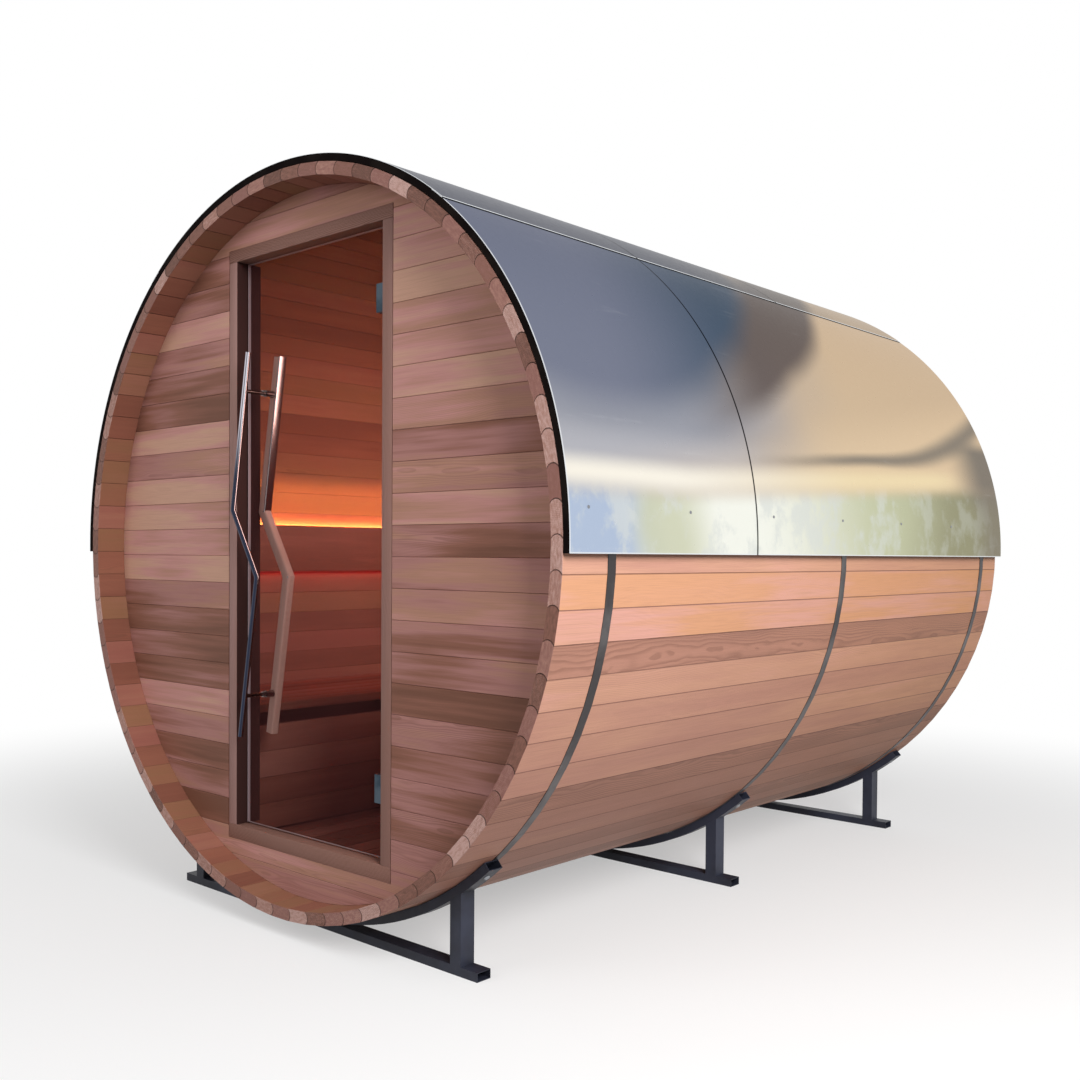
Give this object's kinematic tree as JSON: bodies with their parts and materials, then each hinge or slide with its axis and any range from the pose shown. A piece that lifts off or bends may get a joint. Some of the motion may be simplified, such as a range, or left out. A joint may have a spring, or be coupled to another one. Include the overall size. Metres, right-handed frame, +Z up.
{
  "type": "barrel sauna",
  "caption": "Outdoor barrel sauna of cedar staves on steel cradles, with a half roof of metal sheets, a full-height tinted glass door and a bench inside.",
  "frame": {"origin": "on the ground under the middle of the barrel", "axes": "+X to the right seen from the front, +Y from the front to the back along the barrel, +Z up"},
  "size_m": [2.1748, 2.59, 2.2074],
  "materials": {
    "stave_cedar": "smooth",
    "wall_cedar": "smooth",
    "frame_cedar": "smooth",
    "bench_cedar": "smooth",
    "handle_wood": "smooth",
    "tinted_glass": "polished",
    "handle_chrome": "polished",
    "hinge_steel": "satin",
    "light_diffuser": "matte",
    "roof_underlay": "matte",
    "roof_steel": "satin",
    "hoop_steel": "satin",
    "cradle_steel": "satin"
  },
  "bodies": {
    "barrel": {"staves_top": "stave_cedar", "staves_upper_right": "stave_cedar", "staves_right": "stave_cedar", "staves_lower_right": "stave_cedar", "staves_bottom": "stave_cedar", "staves_lower_left": "stave_cedar", "staves_left": "stave_cedar", "staves_upper_left": "stave_cedar", "front_wall_left": "wall_cedar", "front_wall_right": "wall_cedar", "front_wall_over_door": "wall_cedar", "front_wall_under_door": "wall_cedar", "back_wall": "wall_cedar", "door_head": "frame_cedar", "door_sill": "frame_cedar", "door_jamb_left": "frame_cedar", "door_jamb_right": "frame_cedar", "jamb_hinge_leaves": "hinge_steel", "bench_seat": "bench_cedar", "bench_frame": "frame_cedar", "bench_skirt": "bench_cedar", "backrest_board": "bench_cedar", "backrest_blocks": "frame_cedar", "backrest_lights": "light_diffuser", "floor_slats": "bench_cedar", "floor_bearers": "frame_cedar", "roof_underlay_left": "roof_underlay", "roof_underlay_ridge": "roof_underlay", "roof_underlay_right": "roof_underlay", "roof_sheets_left": "roof_steel", "roof_sheets_ridge": "roof_steel", "roof_sheets_right": "roof_steel", "hoops": "hoop_steel", "cradle_saddles": "cradle_steel", "cradle_rails": "cradle_steel", "cradle_posts": "cradle_steel"},
    "door": {"door_glass": "tinted_glass", "door_handle_outer": "handle_chrome", "door_handle_inner": "handle_wood", "door_handle_bosses": "handle_chrome", "door_hinge_clamps": "hinge_steel"}
  },
  "joints": [
    {"name": "door_hinge", "type": "hinge", "parent": "barrel", "child": "door", "pos_m": [0.33, -1.166, 1.1186], "axis": [0, 0, 1], "range_deg": [0, 90]}
  ]
}
